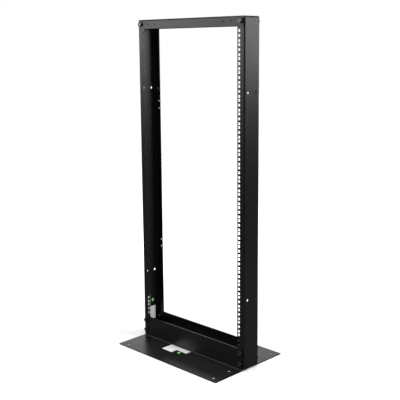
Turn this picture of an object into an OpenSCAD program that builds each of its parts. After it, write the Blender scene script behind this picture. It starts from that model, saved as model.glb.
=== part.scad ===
// Two post open frame rack.
//
// Two steel channels stand back to back with their flanges turned in.
// Four long bent angles tie them together: one in front and one behind
// at the foot, whose wide legs lie on the floor, and one in front and one
// behind across the head. Hex bolts and nuts hold the angles to the posts.
// The front flanges carry the square holes that equipment is bolted to.
//
// X runs across the rack, Y from front to back and Z up. The origin is on
// the floor under the middle of the rack. All lengths are millimetres.

/* [Rack pitch] */
// Height of one rack unit
unit_h = 44.45; // [40:0.01:50]
// Number of rack units between the foot and the head
unit_count = 24; // [4:1:45]
// Distance from a flange's inner edge to the middle of its square holes
hole_inset = 7.15; // [6:0.05:12]
// Width of a square hole
square_hole = 9.5; // [7:0.1:10.5]
// Height of a unit's lowest hole above the start of the unit
first_hole = 6.35; // [5.5:0.01:8]
// Step from a unit's lowest hole to its middle hole, and on to its highest
hole_step = 15.875; // [14:0.001:16]

/* [Posts] */
// Clear width between the flanges of the two posts
opening_w = 450.8; // [425:0.1:600]
// Width of a post's flanges, across the rack
flange_w = 31.8; // [30:0.1:60]
// Depth of a post's web, from the front of the rack to its back
web_d = 74; // [70:0.5:150]
// Sheet thickness of the posts
post_sheet = 2.7; // [1.5:0.1:3.5]
// Inside radius of the posts' two bends
post_bend = 1.8; // [0.5:0.1:4]
// Gap between the base angles' upright legs and the first rack unit
foot_gap = 9.9; // [1:0.1:60]
// Gap between the last rack unit and the top angles' upright legs
head_gap = 8.5; // [1:0.1:60]
// Diameter of the round holes in the webs
web_hole_d = 9; // [5:0.1:12]
// Distance between the two web holes of a level, front to back
web_hole_y = 38.1; // [30:0.1:45]
// Height of the lower level of web holes above the floor
web_low_z = 250.8; // [120:0.1:400]
// Height from the lower to the upper level of web holes
web_rise = 700; // [100:5:750]
// Diameter of the small tie holes in the rear flanges
tie_hole_d = 5.5; // [3:0.1:8]
// Distance between the two tie holes of a pair
tie_pair = 27; // [15:0.5:40]
// Height of the middle of the lower pair of tie holes
tie_low_z = 358.5; // [200:0.5:500]
// Height from the lower pair of tie holes to the upper pair
tie_rise = 530; // [100:5:560]

/* [Base angles] */
// Distance from a post's outer face in to the end of the base angles
base_inset = 6.2; // [0:0.1:8]
// Width of the leg that lies on the floor
base_leg = 135; // [120:1:250]
// Height of the upright leg
base_rise = 79; // [76:0.5:88]
// Sheet thickness of the base angles
base_sheet = 3; // [2:0.1:5]
// Inside radius of the base angles' bend
base_bend = 3; // [1:0.1:4]
// Radius of the plates' outer corners
base_corner = 4; // [1:0.5:12]
// Diameter of the floor anchor holes
anchor_d = 11; // [8:0.1:16]
// Distance from the base angles' ends to the anchor holes
anchor_end = 30; // [15:0.5:80]
// Distance from the post to the inner row of anchor holes
anchor_inner = 36; // [20:0.5:60]
// Distance from the inner to the outer row of anchor holes
anchor_row = 77; // [40:0.5:80]

/* [Top angles] */
// Height of the top angles' upright leg
top_rise = 31.8; // [28:0.1:36]
// Width of the top angles' flat leg
top_leg = 31.8; // [20:0.1:34]
// Sheet thickness of the top angles
top_sheet = 2.7; // [1.5:0.1:3.5]
// Inside radius of the top angles' bend
top_bend = 3; // [1:0.1:4]
// Distance from a post's outer face in to the end of the top angles
top_inset = 5.2; // [0:0.1:6]
// Diameter of the spare holes in the top angles
spare_hole_d = 6; // [3:0.1:8]
// Distance from a post's flange to the outer spare hole
spare_edge = 24.4; // [8:0.1:60]
// Step from the outer to the inner spare hole
spare_step = 36.5; // [15:0.5:60]

/* [Bolts] */
// Thread diameter of the bolts
bolt_d = 10; // [6:0.5:11]
// Width across the flats of the bolt heads and nuts
bolt_flats = 16; // [13:0.5:18]
// Height of a bolt's head
bolt_head = 6.4; // [4:0.1:8]
// Height of a nut
nut_h = 8.4; // [5:0.1:9]
// Length of thread that stands out of a nut
bolt_tail = 2.6; // [1:0.1:6]
// Play between a bolt and its hole, on the diameter
bolt_play = 1; // [0.4:0.1:1.5]
// Play between a bolt's thread and its nut, on the diameter
thread_play = 0.1; // [0.05:0.05:0.3]
// Height of the lower base bolts above the floor
base_bolt_z = 25.4; // [22:0.1:30]
// Height from the lower to the upper base bolts
base_bolt_rise = 38.1; // [30:0.1:42]

/* [Stickers] */
// Length of a sticker
sticker_l = 102; // [60:1:140]
// Width of a sticker
sticker_w = 50; // [40:1:55]
// Length of the corner left out of a sticker
sticker_notch_l = 50; // [20:1:55]
// Width of the corner left out of a sticker
sticker_notch_w = 26; // [15:1:30]
// Thickness of a sticker
sticker_t = 0.3; // [0.1:0.1:0.5]
// Diameter of the round inspection dots
dot_d = 11.5; // [6:0.5:14]
// Place of the middle of the base sticker across the rack
base_sticker_x = -46; // [-150:1:100]
// Gap between the base sticker and the bend of the base angle
base_sticker_gap = 1; // [0.5:0.5:20]
// Height of the post sticker's lower end
post_sticker_z = 54; // [30:1:700]
// Gap between the post sticker and the bend of the post's front flange
post_sticker_gap = 0.5; // [0.5:0.5:5]

/* [Hidden] */
$fn = 48;
eps = 1;
front = 1;
rear = -1;
left = -1;
right = 1;

post_x = opening_w / 2 + flange_w;
flange_mid_x = opening_w / 2 + flange_w / 2;
hole_x = opening_w / 2 + hole_inset;
post_y = web_d / 2;
first_unit_z = base_rise + foot_gap;
rack_top_z = first_unit_z + unit_count * unit_h + head_gap + top_rise;
post_bottom_z = base_bend + base_sheet;
post_sticker_y = post_sheet + post_bend + post_sticker_gap + sticker_w - post_y;
post_top_z = rack_top_z - top_sheet - top_bend;
post_h = post_top_z - post_bottom_z;
bolt_hole_d = bolt_d + bolt_play;
base_half_w = post_x - base_inset;
top_half_w = post_x - top_inset;
base_y = post_y + base_leg;
anchor_x = base_half_w - anchor_end;
anchor_rows_y = [post_y + anchor_inner, post_y + anchor_inner + anchor_row];
base_bolts_z = [base_bolt_z, base_bolt_z + base_bolt_rise];
top_bolt_z = rack_top_z - top_rise / 2;
spare_outer_x = opening_w / 2 - spare_edge;
spare_xs = [spare_outer_x, spare_outer_x - spare_step];
tie_zs = [for (z = [tie_low_z, tie_low_z + tie_rise], s = [-1, 1]) z + s * tie_pair / 2];

// ---- shared shapes -------------------------------------------------------

// What a rounded corner takes off a square one, with the corner at the origin
module corner_waste(r) {
    difference() {
        translate([-eps, -eps]) square(r + eps);
        translate([r, r]) circle(r);
    }
}

// Outline of a bent angle: its legs run along +X and +Y from the outer corner
module angle_outline(leg_x, leg_y, sheet, bend) {
    difference() {
        square([leg_x, leg_y]);
        corner_waste(bend + sheet);
        translate([sheet, sheet]) difference() {
            square([leg_x, leg_y]);
            corner_waste(bend);
        }
    }
}

// Solid bounded by two round bends on the side towards +X
module channel_block(w, d, r) {
    difference() {
        translate([-w, -d / 2]) square([w, d]);
        for (s = [-1, 1]) scale([1, s]) translate([0, -d / 2]) mirror([1, 0]) corner_waste(r);
    }
}

// Round hole along Y at a place on a flange or an upright leg
module hole_y(x, y, z, d, depth) {
    translate([x, y - depth / 2 - eps, z]) rotate([-90, 0, 0]) cylinder(d = d, h = depth + 2 * eps);
}

// ---- posts ---------------------------------------------------------------

// One bent channel. The right-hand one is drawn, and the other mirrors it
module post(side) {
    color([0.06, 0.06, 0.065]) scale([side, 1, 1]) difference() {
        translate([post_x, 0, post_bottom_z]) linear_extrude(post_h) difference() {
            channel_block(flange_w, web_d, post_bend + post_sheet);
            translate([-post_sheet, 0])
                channel_block(flange_w, web_d - 2 * post_sheet, post_bend);
        }
        square_holes();
        web_holes();
        tie_holes();
        post_bolt_holes();
    }
}

// Three square holes for each rack unit, through the front flange
module square_holes() {
    for (unit = [0 : unit_count - 1], step = [0 : 2])
        translate([
            hole_x - square_hole / 2,
            -post_y - eps,
            first_unit_z + unit * unit_h + first_hole + step * hole_step - square_hole / 2
        ]) cube([square_hole, post_sheet + 2 * eps, square_hole]);
}

// Two levels of two round holes through the web
module web_holes() {
    for (side = [-1, 1], z = [web_low_z, web_low_z + web_rise])
        translate([post_x - post_sheet - eps, side * web_hole_y / 2, z])
            rotate([0, 90, 0]) cylinder(d = web_hole_d, h = post_sheet + 2 * eps);
}

// Two pairs of small round holes through the rear flange
module tie_holes() {
    for (z = tie_zs) hole_y(hole_x, post_y - post_sheet / 2, z, tie_hole_d, post_sheet);
}

// Bolt holes in both flanges, at the foot and at the head
module post_bolt_holes() {
    for (y = [-1, 1], z = concat(base_bolts_z, [top_bolt_z]))
        hole_y(flange_mid_x, y * (post_y - post_sheet / 2), z, bolt_hole_d, post_sheet);
}

// ---- base angles ---------------------------------------------------------

// The rear one is drawn, with its floor leg towards +Y, and the other mirrors it
module base_angle(end) {
    color([0.07, 0.07, 0.075]) scale([1, -end, 1]) difference() {
        translate([-base_half_w, post_y, 0]) rotate([90, 0, 90])
            linear_extrude(2 * base_half_w)
                angle_outline(base_leg, base_rise, base_sheet, base_bend);
        for (side = [left, right]) {
            scale([side, 1, 1]) plate_corner();
            for (y = anchor_rows_y) translate([side * anchor_x, y, -eps])
                cylinder(d = anchor_d, h = base_sheet + 2 * eps);
            for (z = base_bolts_z)
                hole_y(side * flange_mid_x, post_y + base_sheet / 2, z, bolt_hole_d, base_sheet);
        }
    }
}

// What the rounding takes off a floor leg's outer corner
module plate_corner() {
    translate([base_half_w, base_y, -eps]) rotate(180)
        linear_extrude(base_sheet + 2 * eps) corner_waste(base_corner);
}

// ---- top angles ----------------------------------------------------------

// The rear one is drawn: its upright leg is bolted behind the posts and its
// flat leg runs forward over their tops
module top_angle(end) {
    color([0.08, 0.08, 0.085]) scale([1, -end, 1]) difference() {
        translate([-top_half_w, post_y + top_sheet, rack_top_z]) rotate([90, 0, 90])
            linear_extrude(2 * top_half_w) rotate(180)
                angle_outline(top_leg, top_rise, top_sheet, top_bend);
        for (side = [left, right]) {
            hole_y(side * flange_mid_x, post_y + top_sheet / 2, top_bolt_z, bolt_hole_d, top_sheet);
            for (x = spare_xs)
                hole_y(side * x, post_y + top_sheet / 2, top_bolt_z, spare_hole_d, top_sheet);
        }
    }
}

// ---- bolts and nuts ------------------------------------------------------

// A bolt whose head bears on the plane z = 0 and whose shank runs down
module hex_bolt(grip) {
    color([0.16, 0.16, 0.17]) {
        cylinder(d = bolt_flats / cos(30), h = bolt_head, $fn = 6);
        translate([0, 0, -grip - nut_h - bolt_tail])
            cylinder(d = bolt_d, h = grip + nut_h + bolt_tail + bolt_head / 2);
    }
}

// A nut that bears on the plane z = 0 and lies below it, on a bolt's thread
module hex_nut() {
    color([0.2, 0.2, 0.21]) difference() {
        translate([0, 0, -nut_h]) cylinder(d = bolt_flats / cos(30), h = nut_h, $fn = 6);
        translate([0, 0, -nut_h - eps]) cylinder(d = bolt_d + thread_play, h = nut_h + 2 * eps);
    }
}

// Puts a piece on a flange with its axis along Y and its head outwards
module on_flange(end, side, depth, z) {
    translate([side * flange_mid_x, -end * depth, z]) rotate([end * 90, 0, 0]) children();
}

module base_bolt(end, side, level) {
    on_flange(end, side, post_y + base_sheet, base_bolts_z[level])
        hex_bolt(base_sheet + post_sheet);
}

module base_nut(end, side, level) {
    on_flange(end, side, post_y - post_sheet, base_bolts_z[level]) hex_nut();
}

module top_bolt(end, side) {
    on_flange(end, side, post_y + top_sheet, top_bolt_z) hex_bolt(top_sheet + post_sheet);
}

module top_nut(end, side) {
    on_flange(end, side, post_y - post_sheet, top_bolt_z) hex_nut();
}

// ---- stickers ------------------------------------------------------------

// A sticker with one corner left out, which its green dot fills
module sticker_outline() {
    difference() {
        square([sticker_l, sticker_w]);
        translate([sticker_l - sticker_notch_l, -eps])
            square([sticker_notch_l + eps, sticker_notch_w + eps]);
    }
}

module dot_outline() {
    translate([sticker_l - sticker_notch_l / 2, sticker_notch_w / 2]) circle(d = dot_d);
}

// Lays an outline flat on the front base angle, its long side along the bend
module on_base() {
    translate([
        base_sticker_x - sticker_l / 2,
        -post_y - base_sheet - base_bend - base_sticker_gap - sticker_w,
        base_sheet
    ]) linear_extrude(sticker_t) children();
}

// Lays an outline on the inside of the left post's web, its long side upright
module on_web() {
    translate([post_sheet - post_x, post_sticker_y, post_sticker_z])
        rotate([90, 0, 90]) linear_extrude(sticker_t) rotate(90) children();
}

module sticker_base() {
    color([0.92, 0.92, 0.9]) on_base() sticker_outline();
}

module sticker_post() {
    color([0.92, 0.92, 0.9]) on_web() sticker_outline();
}

module dot_base() {
    color([0.1, 0.62, 0.12]) on_base() dot_outline();
}

module dot_post() {
    color([0.1, 0.62, 0.12]) on_web() dot_outline();
}

// ---- the rack ------------------------------------------------------------

post(left);  // post_left
post(right);  // post_right
base_angle(front);  // base_angle_front
base_angle(rear);  // base_angle_rear
top_angle(front);  // top_angle_front
top_angle(rear);  // top_angle_rear
base_bolt(front, left, 0);  // bolt_base_front_left_low
base_bolt(front, left, 1);  // bolt_base_front_left_high
base_bolt(front, right, 0);  // bolt_base_front_right_low
base_bolt(front, right, 1);  // bolt_base_front_right_high
base_bolt(rear, left, 0);  // bolt_base_rear_left_low
base_bolt(rear, left, 1);  // bolt_base_rear_left_high
base_bolt(rear, right, 0);  // bolt_base_rear_right_low
base_bolt(rear, right, 1);  // bolt_base_rear_right_high
top_bolt(front, left);  // bolt_top_front_left
top_bolt(front, right);  // bolt_top_front_right
top_bolt(rear, left);  // bolt_top_rear_left
top_bolt(rear, right);  // bolt_top_rear_right
base_nut(front, left, 0);  // nut_base_front_left_low
base_nut(front, left, 1);  // nut_base_front_left_high
base_nut(front, right, 0);  // nut_base_front_right_low
base_nut(front, right, 1);  // nut_base_front_right_high
base_nut(rear, left, 0);  // nut_base_rear_left_low
base_nut(rear, left, 1);  // nut_base_rear_left_high
base_nut(rear, right, 0);  // nut_base_rear_right_low
base_nut(rear, right, 1);  // nut_base_rear_right_high
top_nut(front, left);  // nut_top_front_left
top_nut(front, right);  // nut_top_front_right
top_nut(rear, left);  // nut_top_rear_left
top_nut(rear, right);  // nut_top_rear_right
sticker_base();
sticker_post();
dot_base();
dot_post();
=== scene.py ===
import math

import bpy
import numpy as np
from mathutils import Matrix, Vector


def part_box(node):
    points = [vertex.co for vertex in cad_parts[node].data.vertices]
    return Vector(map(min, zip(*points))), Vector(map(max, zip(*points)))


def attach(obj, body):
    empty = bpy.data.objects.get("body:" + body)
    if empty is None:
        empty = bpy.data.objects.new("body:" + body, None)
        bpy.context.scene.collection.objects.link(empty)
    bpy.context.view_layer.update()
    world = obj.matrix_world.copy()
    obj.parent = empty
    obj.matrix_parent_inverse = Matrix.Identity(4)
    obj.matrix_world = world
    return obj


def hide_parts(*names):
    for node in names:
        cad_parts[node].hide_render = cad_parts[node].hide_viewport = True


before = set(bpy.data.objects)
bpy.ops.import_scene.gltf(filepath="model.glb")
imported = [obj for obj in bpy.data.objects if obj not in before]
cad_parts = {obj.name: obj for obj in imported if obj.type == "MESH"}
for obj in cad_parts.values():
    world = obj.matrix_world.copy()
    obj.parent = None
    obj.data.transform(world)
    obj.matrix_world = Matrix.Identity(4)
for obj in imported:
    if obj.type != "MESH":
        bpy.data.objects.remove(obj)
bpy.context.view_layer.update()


# ---------------------------------------------------------------- base angles
# Two steel angles, 3 mm thick, that the posts stand between. The blanks are cut
# and punched, the upright leg is bent on a press brake, and the whole angle is
# sprayed with black polyester powder and baked, which leaves a satin skin.

def new_material(name, colour, roughness, metallic=0.0):
    """A material with one Principled BSDF, its constants set on its own sockets."""
    material = bpy.data.materials.new(name)
    material.use_nodes = True
    shader = material.node_tree.nodes["Principled BSDF"]
    shader.inputs["Base Color"].default_value = (*colour, 1.0)
    shader.inputs["Roughness"].default_value = roughness
    shader.inputs["Metallic"].default_value = metallic
    return material, material.node_tree, shader


def new_group(name, inputs, outputs):
    """A shader node group with named sockets: inputs and outputs are (kind, name, value) rows."""
    group = bpy.data.node_groups.new(name, "ShaderNodeTree")
    for kind, label, value in inputs:
        socket = group.interface.new_socket(name=label, in_out="INPUT",
                                            socket_type="NodeSocket" + kind)
        if value is not None:
            socket.default_value = value
    for kind, label in outputs:
        group.interface.new_socket(name=label, in_out="OUTPUT",
                                   socket_type="NodeSocket" + kind)
    return group, group.nodes.new("NodeGroupInput"), group.nodes.new("NodeGroupOutput")


def add_node(tree, kind, values=None, **settings):
    """A node of the given kind: settings go on the node, values on its named sockets."""
    node = tree.nodes.new("ShaderNode" + kind)
    for key, value in settings.items():
        setattr(node, key, value)
    for key, value in (values or {}).items():
        node.inputs[key].default_value = value
    return node


def powder_group():
    """Baked powder paint. Three layers of noise on the object's own coordinates:
    orange peel about a millimetre wide gives the height, a drift of some
    centimetres changes the gloss, and dust settles where a face looks upwards."""
    group, given, made = new_group(
        "powder paint",
        [("Color", "Paint", (0.0018, 0.0018, 0.002, 1.0)),
         ("Color", "Dust", (0.11, 0.105, 0.1, 1.0)),
         ("Float", "Dust amount", 0.05), ("Float", "Gloss", 0.34), ("Float", "Gloss drift", 0.06),
         ("Float", "Peel size", 0.0012)],
        [("Color", "Color"), ("Float", "Roughness"), ("Vector", "Normal")])
    join = group.links.new
    where = add_node(group, "TexCoord")

    fineness = add_node(group, "Math", {0: 1.0}, operation="DIVIDE")
    join(given.outputs["Peel size"], fineness.inputs[1])
    peel = add_node(group, "TexNoise", {"Detail": 2.0, "Roughness": 0.55})
    join(where.outputs["Object"], peel.inputs["Vector"])
    join(fineness.outputs[0], peel.inputs["Scale"])
    bump = add_node(group, "Bump", {"Strength": 0.35, "Distance": 0.00006})
    join(peel.outputs["Fac"], bump.inputs["Height"])
    join(bump.outputs["Normal"], made.inputs["Normal"])

    drift = add_node(group, "TexNoise", {"Scale": 14.0, "Detail": 4.0, "Roughness": 0.6})
    join(where.outputs["Object"], drift.inputs["Vector"])
    centred = add_node(group, "Math", {1: 0.5}, operation="SUBTRACT")
    join(drift.outputs["Fac"], centred.inputs[0])
    gloss = add_node(group, "Math", operation="MULTIPLY_ADD")
    join(centred.outputs[0], gloss.inputs[0])
    join(given.outputs["Gloss drift"], gloss.inputs[1])
    join(given.outputs["Gloss"], gloss.inputs[2])
    join(gloss.outputs[0], made.inputs["Roughness"])

    facing = add_node(group, "NewGeometry")
    parts = add_node(group, "SeparateXYZ")
    join(facing.outputs["Normal"], parts.inputs[0])
    upward = add_node(group, "Math", {1: 0.4}, operation="MULTIPLY_ADD", use_clamp=True)
    join(parts.outputs["Z"], upward.inputs[0])
    upward.inputs[2].default_value = 0.2
    specks = add_node(group, "TexNoise", {"Scale": 260.0, "Detail": 5.0, "Roughness": 0.7})
    join(where.outputs["Object"], specks.inputs["Vector"])
    settled = add_node(group, "Math", operation="MULTIPLY")
    join(upward.outputs[0], settled.inputs[0])
    join(specks.outputs["Fac"], settled.inputs[1])
    amount = add_node(group, "Math", operation="MULTIPLY", use_clamp=True)
    join(settled.outputs[0], amount.inputs[0])
    join(given.outputs["Dust amount"], amount.inputs[1])
    tint = add_node(group, "Mix", data_type="RGBA")
    join(amount.outputs[0], tint.inputs["Factor"])
    join(given.outputs["Paint"], tint.inputs[6])
    join(given.outputs["Dust"], tint.inputs[7])
    join(tint.outputs[2], made.inputs["Color"])
    return group


powder = powder_group()


def painted_steel(name, **values):
    """Steel under powder paint: the group feeds colour, roughness and normal."""
    material, tree, shader = new_material(name, (0.01, 0.01, 0.011), 0.35)
    paint = tree.nodes.new("ShaderNodeGroup")
    paint.node_tree = powder
    for socket, value in values.items():
        paint.inputs[socket.replace("_", " ")].default_value = value
    for out, into in (("Color", "Base Color"), ("Roughness", "Roughness"), ("Normal", "Normal")):
        tree.links.new(paint.outputs[out], shader.inputs[into])
    shader.inputs["IOR"].default_value = 1.5
    return material


def finish_nodes(names, material):
    """Gives CAD nodes their material."""
    for name in names:
        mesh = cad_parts[name].data
        mesh.materials.clear()
        mesh.materials.append(material)


base_paint = painted_steel("base angle paint", Dust_amount=0.01, Gloss=0.36)
finish_nodes(["base_angle_front", "base_angle_rear"], base_paint)


# ---------------------------------------------------------------------- posts
# Two channels of 2.7 mm steel. The square holes of the front flange and the few
# round ones of the web and the rear flange are punched before the sheet is bent,
# and the same black powder covers them inside and out.

post_paint = painted_steel("post paint", Dust_amount=0.01, Gloss=0.40)
finish_nodes(["post_left", "post_right"], post_paint)


# ----------------------------------------------------------------- top angles
# Two light angles that tie the posts together at the top. They are cut, punched
# and bent like the rest, and powder coated in the same black.

top_paint = painted_steel("top angle paint", Dust_amount=0.03, Gloss=0.40)
finish_nodes(["top_angle_front", "top_angle_rear"], top_paint)


# ---------------------------------------------------------------------- bolts
# M10 hexagon bolts, cold forged from steel wire: a shallow dish in the crown of
# the head, corners turned off at 30 degrees and a rolled thread. They are
# blackened, and oiled, so the crown shines more than the paint round it.

bolt_radius = 0.005
bolt_head = 0.0064
thread_pitch = 0.0015
thread_depth = 0.0008
thread_start = 0.0009
thread_end = 0.0054
crown_round = 0.0078
dish_radius = 0.0048
dish_depth = 0.0006
washer_step = 0.0004


def hex_radius(angle, flats):
    """Distance from the axis to a hexagon's side: half the flats over the cosine of
    the angle from the nearest side's middle, with corners at 0, 60, 120 degrees."""
    return flats / 2 / np.cos(np.mod(angle, math.pi / 3) - math.pi / 6)


def turned_mesh(name, rings, low_pole=True, high_pole=True):
    """A mesh from rings, an array of (ring, step, 3) points that run round the axis.
    Quads join each ring to the next, and a pole point closes each end."""
    count, steps = rings.shape[:2]
    points = rings.reshape(-1, 3)
    a = np.arange(count - 1)[:, None] * steps + np.arange(steps)[None, :]
    b = np.arange(count - 1)[:, None] * steps + np.mod(np.arange(steps) + 1, steps)[None, :]
    quads = np.stack([a, b, b + steps, a + steps], axis=-1).reshape(-1, 4).tolist()
    here, after = np.arange(steps), np.mod(np.arange(steps) + 1, steps)
    ends = []
    if low_pole:
        points = np.vstack([points, rings[0].mean(0)])
        ends += np.stack([after, here, np.full(steps, len(points) - 1)], axis=-1).tolist()
    if high_pole:
        points = np.vstack([points, rings[-1].mean(0)])
        last = (count - 1) * steps
        pole = np.full(steps, len(points) - 1)
        ends += np.stack([here + last, after + last, pole], axis=-1).tolist()
    mesh = bpy.data.meshes.new(name)
    mesh.from_pydata(points.tolist(), [], quads + ends)
    mesh.validate()
    piece = bpy.data.objects.new(name, mesh)
    bpy.context.scene.collection.objects.link(piece)
    return piece


def shade_by_angle(piece, degrees):
    """Smooth shading, except across edges sharper than the angle."""
    mesh = piece.data
    mesh.polygons.foreach_set("use_smooth", np.ones(len(mesh.polygons), dtype=bool))
    mesh.set_sharp_from_angle(angle=math.radians(degrees))


def bolt_rings(flats, head, length, radius, steps=96):
    """A hexagon bolt along +Z with its head's bearing face at z 0 and its shank below.
    Each ring is (radius, height) over the angle: thread rows follow
    r = radius - depth * |saw(z / pitch - angle / turn)|, the sides follow the
    hexagon, and the chamfer drops by tan 30 of what the hexagon passes the crown."""
    angle = np.arange(steps) * 2 * math.pi / steps
    one = np.ones(steps)
    side = hex_radius(angle, flats)
    chamfer = np.tan(math.radians(30))
    rows = [(radius * 0.72 * one, -length * one), (radius * 0.86 * one, (-length + 0.0005) * one)]
    threaded = np.linspace(-length + thread_start, -length + thread_end, 25)
    for z in threaded:
        saw = np.abs(np.mod(z / thread_pitch - angle / (2 * math.pi), 1.0) * 2 - 1)
        rows.append((radius - thread_depth * saw, z * one))
    rows.append((radius * 0.96 * one, (threaded[-1] + 0.0003) * one))
    rows.append((radius * 0.985 * one, (threaded[-1] + 0.0008) * one))
    rows.append((radius * 0.985 * one, 0.0 * one))
    rows.append((flats / 2 * 0.96 * one, 0.0 * one))
    rows.append((flats / 2 * 0.96 * one, washer_step * one))
    rows.append((side, (washer_step + (side - flats / 2) * 0.3)))
    rows.append((side, head - (side - crown_round) * chamfer))
    rows.append((side * 0.5 + crown_round * 0.5, head - (side - crown_round) * chamfer * 0.45))
    rows.append((crown_round * 0.97 * one, head * one))
    rows.append((dish_radius * one, head * one))
    rows.append((dish_radius * 0.86 * one, (head - dish_depth * 0.8) * one))
    rows.append((dish_radius * 0.5 * one, (head - dish_depth) * one))
    radii = np.array([row[0] for row in rows])
    heights = np.array([row[1] for row in rows])
    return np.stack([radii * np.cos(angle), radii * np.sin(angle), heights], axis=-1)


def steel_group():
    """Blackened steel. A drift of a few millimetres changes tone and gloss, and
    fine noise leaves the marks of the forging die."""
    group, given, made = new_group(
        "blackened steel",
        [("Color", "Tone", (0.2, 0.2, 0.21, 1.0)), ("Color", "Worn tone", (0.5, 0.5, 0.5, 1.0)),
         ("Float", "Worn amount", 0.3), ("Float", "Gloss", 0.35)],
        [("Color", "Color"), ("Float", "Roughness"), ("Vector", "Normal")])
    join = group.links.new
    where = add_node(group, "TexCoord")
    drift = add_node(group, "TexNoise", {"Scale": 420.0, "Detail": 4.0, "Roughness": 0.65})
    join(where.outputs["Object"], drift.inputs["Vector"])
    worn = add_node(group, "Math", operation="MULTIPLY", use_clamp=True)
    join(drift.outputs["Fac"], worn.inputs[0])
    join(given.outputs["Worn amount"], worn.inputs[1])
    tone = add_node(group, "Mix", data_type="RGBA")
    join(worn.outputs[0], tone.inputs["Factor"])
    join(given.outputs["Tone"], tone.inputs[6])
    join(given.outputs["Worn tone"], tone.inputs[7])
    join(tone.outputs[2], made.inputs["Color"])
    gloss = add_node(group, "Math", {1: 0.12}, operation="MULTIPLY_ADD")
    join(drift.outputs["Fac"], gloss.inputs[0])
    join(given.outputs["Gloss"], gloss.inputs[2])
    join(gloss.outputs[0], made.inputs["Roughness"])
    marks = add_node(group, "TexNoise", {"Scale": 2600.0, "Detail": 2.0})
    join(where.outputs["Object"], marks.inputs["Vector"])
    bump = add_node(group, "Bump", {"Strength": 0.3, "Distance": 0.00003})
    join(marks.outputs["Fac"], bump.inputs["Height"])
    join(bump.outputs["Normal"], made.inputs["Normal"])
    return group


blackened = steel_group()


def fastener_steel(name, **values):
    """Blackened steel for a fastener, with the group's own values."""
    material, tree, shader = new_material(name, (0.2, 0.2, 0.21), 0.4, metallic=1.0)
    skin = tree.nodes.new("ShaderNodeGroup")
    skin.node_tree = blackened
    for socket, value in values.items():
        skin.inputs[socket.replace("_", " ")].default_value = value
    for out, into in (("Color", "Base Color"), ("Roughness", "Roughness"), ("Normal", "Normal")):
        tree.links.new(skin.outputs[out], shader.inputs[into])
    return material


def stand_along_y(piece, node, front):
    """Lays a +Z piece on a node's axis: +Z turns to the outside of the rack, which is
    -Y at the front and +Y at the rear, and the piece's place goes into its mesh."""
    low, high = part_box(node)
    outward = -1.0 if front else 1.0
    axes = Matrix(((outward, 0, 0), (0, 0, outward), (0, 1, 0))).to_4x4()
    centre = (low + high) / 2
    piece.data.transform(Matrix.Translation(Vector((centre.x, 0, centre.z))) @ axes)
    return low, high, outward


bolt_steel = fastener_steel("bolt steel", Tone=(0.08, 0.08, 0.084, 1.0),
                            Worn_tone=(0.16, 0.16, 0.16, 1.0), Gloss=0.32)
for node in sorted(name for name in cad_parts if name.startswith("bolt_")):
    low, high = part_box(node)
    flats = min(high.x - low.x, high.z - low.z)
    total = high.y - low.y
    bolt = turned_mesh("hex_" + node, bolt_rings(flats, bolt_head, total - bolt_head, bolt_radius))
    low, high, outward = stand_along_y(bolt, node, "front" in node)
    bearing = low.y + bolt_head if outward < 0 else high.y - bolt_head
    bolt.data.transform(Matrix.Translation(Vector((0, bearing, 0))))
    shade_by_angle(bolt, 25)
    bolt.data.materials.append(bolt_steel)
    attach(bolt, "root")
    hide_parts(node)


# ----------------------------------------------------------------------- nuts
# M10 hexagon nuts, one on each bolt inside the post. Both faces are turned to a
# 30-degree chamfer, and the hole is countersunk where the thread starts.

nut_bore = 0.00508
nut_crown = 0.975
countersink = 1.12
countersink_depth = 0.0006


def nut_rings(flats, height, bore, steps=96):
    """A hexagon nut from z -height to z 0. The closed outline runs up the bore, out over
    the top, down the hexagon and back in: the chamfer drops by tan 30 of what the
    hexagon passes the turned circle."""
    angle = np.arange(steps) * 2 * math.pi / steps
    one = np.ones(steps)
    side = hex_radius(angle, flats)
    turned = flats / 2 * nut_crown
    mouth = bore * countersink
    drop = (side - turned) * np.tan(math.radians(30))
    rows = [(bore * one, -countersink_depth * one), (mouth * one, 0 * one), (turned * one, 0 * one),
            (side, -drop), (side, -height + drop), (turned * one, -height * one),
            (mouth * one, -height * one), (bore * one, (-height + countersink_depth) * one),
            (bore * one, -countersink_depth * one)]
    radii = np.array([row[0] for row in rows])[::-1]
    heights = np.array([row[1] for row in rows])[::-1]
    return np.stack([radii * np.cos(angle), radii * np.sin(angle), heights], axis=-1)


# Blackened steel like the bolts, with its tone and worn tone set darker than the bolts': painted
# shade for the nuts' place inside the post's channel.
nut_steel_painted_shade = fastener_steel("nut steel with painted shade", Tone=(0.035, 0.035, 0.037, 1.0),
                           Worn_tone=(0.08, 0.08, 0.08, 1.0), Gloss=0.38)
for node in sorted(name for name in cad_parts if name.startswith("nut_")):
    low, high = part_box(node)
    flats = min(high.x - low.x, high.z - low.z)
    nut = turned_mesh("hex_" + node, nut_rings(flats, high.y - low.y, nut_bore), False, False)
    low, high, outward = stand_along_y(nut, node, "front" in node)
    nut.data.transform(Matrix.Translation(Vector((0, low.y if outward < 0 else high.y, 0))))
    shade_by_angle(nut, 25)
    nut.data.materials.append(nut_steel_painted_shade)
    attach(nut, "root")
    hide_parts(node)


# ------------------------------------------------------------------- stickers
# Two plain white labels cut from coated paper with one corner notched out: one
# lies on the front base angle and one stands inside the left post. Left blank.

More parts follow.
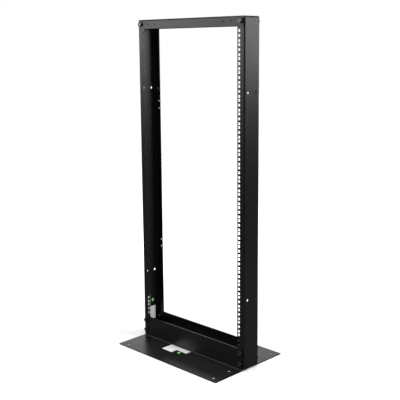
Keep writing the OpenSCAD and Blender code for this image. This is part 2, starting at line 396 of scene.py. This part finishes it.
def paper_material(name, tone):
    """Coated white paper: faint fibre noise changes the tone and gives a soft height."""
    material, tree, shader = new_material(name, tone, 0.45)
    where = add_node(tree, "TexCoord")
    fibre = add_node(tree, "TexNoise", {"Scale": 900.0, "Detail": 4.0})
    tree.links.new(where.outputs["Object"], fibre.inputs["Vector"])
    shade = add_node(tree, "Mix", data_type="RGBA")
    shade.inputs[6].default_value = (*[c * 0.94 for c in tone], 1.0)
    shade.inputs[7].default_value = (*tone, 1.0)
    tree.links.new(fibre.outputs["Fac"], shade.inputs["Factor"])
    tree.links.new(shade.outputs[2], shader.inputs["Base Color"])
    bump = add_node(tree, "Bump", {"Strength": 0.2, "Distance": 0.00002})
    tree.links.new(fibre.outputs["Fac"], bump.inputs["Height"])
    tree.links.new(bump.outputs["Normal"], shader.inputs["Normal"])
    return material


finish_nodes(["sticker_base", "sticker_post"], paper_material("label paper", (0.86, 0.86, 0.86)))


# ----------------------------------------------------------------------- dots
# Two round green dots, punched from printed film and stuck in the notch of each
# label.

def film_material(name, tone):
    """Printed film: a light mottle of the ink under a smooth skin."""
    material, tree, shader = new_material(name, tone, 0.3)
    where = add_node(tree, "TexCoord")
    mottle = add_node(tree, "TexNoise", {"Scale": 1500.0, "Detail": 3.0})
    tree.links.new(where.outputs["Object"], mottle.inputs["Vector"])
    ink = add_node(tree, "Mix", data_type="RGBA")
    ink.inputs[6].default_value = (*[c * 0.8 for c in tone], 1.0)
    ink.inputs[7].default_value = (*tone, 1.0)
    tree.links.new(mottle.outputs["Fac"], ink.inputs["Factor"])
    tree.links.new(ink.outputs[2], shader.inputs["Base Color"])
    return material


finish_nodes(["dot_base", "dot_post"], film_material("green film", (0.32, 0.86, 0.24)))


# --------------------------------------------------------------------- studio
# A pale floor that only the rack's shadow marks, soft lamps round it, and white
# air behind. Glossy rays see a dimmer floor and air than the camera does.

def floor_mesh(name, half, cells=24):
    """A square sheet in the plane z 0: x and y run from -half to half on an even grid."""
    run = np.linspace(-half, half, cells + 1)
    x, y = np.meshgrid(run, run, indexing="ij")
    points = np.stack([x, y, np.zeros_like(x)], axis=-1).reshape(-1, 3)
    i, j = np.meshgrid(np.arange(cells), np.arange(cells), indexing="ij")
    a = (i * (cells + 1) + j).ravel()
    faces = np.stack([a, a + cells + 1, a + cells + 2, a + 1], axis=-1)
    mesh = bpy.data.meshes.new(name)
    mesh.from_pydata(points.tolist(), [], faces.tolist())
    sheet = bpy.data.objects.new(name, mesh)
    bpy.context.scene.collection.objects.link(sheet)
    return sheet


floor_half = 12.0
floor_tone = (0.8, 0.8, 0.8)
floor_in_gloss = (0.14, 0.14, 0.14)
glow_near, glow_far = 0.12, 1.0
glow_from, glow_to = 0.3, 1.4

floor = floor_mesh("studio_floor", floor_half)
floor_paint, tree, shader = new_material("floor paint", floor_tone, 0.9)
shader.inputs["Specular IOR Level"].default_value = 0.0
rays = add_node(tree, "LightPath")
shade = add_node(tree, "Mix", data_type="RGBA")
shade.inputs[6].default_value = (*floor_tone, 1.0)
shade.inputs[7].default_value = (*floor_in_gloss, 1.0)
tree.links.new(rays.outputs["Is Glossy Ray"], shade.inputs["Factor"])
tree.links.new(shade.outputs[2], shader.inputs["Base Color"])
place = add_node(tree, "TexCoord")
away = add_node(tree, "VectorMath", operation="LENGTH")
tree.links.new(place.outputs["Object"], away.inputs[0])
glow = add_node(tree, "MapRange", {"From Min": glow_from, "From Max": glow_to,
                                   "To Min": glow_near, "To Max": glow_far},
                interpolation_type="SMOOTHSTEP")
tree.links.new(away.outputs["Value"], glow.inputs["Value"])
white = add_node(tree, "Emission", {"Color": (1.0, 1.0, 1.0, 1.0)})
tree.links.new(glow.outputs["Result"], white.inputs["Strength"])
both = add_node(tree, "AddShader")
tree.links.new(white.outputs[0], both.inputs[0])
tree.links.new(shader.outputs[0], both.inputs[1])
seen = add_node(tree, "MixShader")
tree.links.new(rays.outputs["Is Camera Ray"], seen.inputs[0])
tree.links.new(shader.outputs[0], seen.inputs[1])
tree.links.new(both.outputs[0], seen.inputs[2])
tree.links.new(seen.outputs[0], tree.nodes["Material Output"].inputs["Surface"])
floor.data.materials.append(floor_paint)

air_fill, air_seen = 0.1, 1.0
world = bpy.data.worlds.new("studio air")
world.use_nodes = True
bpy.context.scene.world = world
air = world.node_tree
back = air.nodes["Background"]
back.inputs["Color"].default_value = (1.0, 1.0, 1.0, 1.0)
rays = add_node(air, "LightPath")
level = add_node(air, "Mix", {2: air_fill, 3: air_seen}, data_type="FLOAT")
air.links.new(rays.outputs["Is Camera Ray"], level.inputs["Factor"])
air.links.new(level.outputs[0], back.inputs["Strength"])

# Each row: name, place, width and height, aim, and brightness where 1 is white.
lamps = [
    ("window right back", (1.34, 1.34, 1.35), (1.4, 0.7), (0.0, 0.0, 1.35), 4.8),
    ("window left front", (-1.34, -1.34, 1.35), (1.4, 0.7), (0.0, 0.0, 1.35), 4.3),
    ("low wall left back", (-1.34, 1.34, 0.65), (1.4, 1.1), (0.0, 0.0, 0.65), 1.3),
    ("wall left", (-1.9, 0.0, 0.95), (1.4, 0.5), (0.0, 0.0, 0.95), 0.8),
    ("wall back", (0.0, 1.9, 0.95), (1.4, 0.5), (0.0, 0.0, 0.95), 2.0),
    ("high right back", (1.6, 1.6, 2.8), (1.4, 1.2), (0.0, 0.0, 0.5), 7.4),
    ("high right front", (1.6, -1.6, 2.8), (1.4, 1.2), (0.0, 0.0, 0.5), 5.3),
    ("ceiling", (0.0, 0.0, 2.8), (2.4, 2.4), (0.0, 0.0, 0.0), 3.5),
]
for name, place, size, target, level in lamps:
    data = bpy.data.lights.new(name, "AREA")
    data.shape = "RECTANGLE"
    data.size, data.size_y = size
    data.energy = math.pi * size[0] * size[1] * level
    aim = Vector(target) - Vector(place)
    lamp = bpy.data.objects.new(name, data)
    upright = "Y" if abs(aim.normalized().z) < 0.9 else "X"
    turn = aim.to_track_quat("-Z", upright).to_matrix().to_4x4()
    lamp.matrix_world = Matrix.Translation(place) @ turn
    lamp.visible_camera = False
    bpy.context.scene.collection.objects.link(lamp)


# --------------------------------------------------------------------- camera
# It stands in front of the right post, at about the height of the upper units.

focal, yaw, pitch, roll = 774.02 / 400 * 36, 0.78222, 0.17559, -0.0081
stand = (1.91703, -1.91426, 1.09932)
shift_up = -16.0 / 400
camera_data = bpy.data.cameras.new("camera")
camera_data.lens = focal
camera_data.sensor_width = 36.0
camera_data.shift_y = shift_up
camera_data.clip_start, camera_data.clip_end = 0.05, 60.0
camera = bpy.data.objects.new("camera", camera_data)
level_turn = Matrix.Rotation(yaw, 4, "Z")
tilt = Matrix.Rotation(math.pi / 2 - pitch, 4, "X")
lean = Matrix.Rotation(roll, 4, "Z")
camera.matrix_world = Matrix.Translation(stand) @ level_turn @ tilt @ lean
bpy.context.scene.collection.objects.link(camera)
bpy.context.scene.camera = camera
bpy.context.scene.view_settings.view_transform = "Standard"
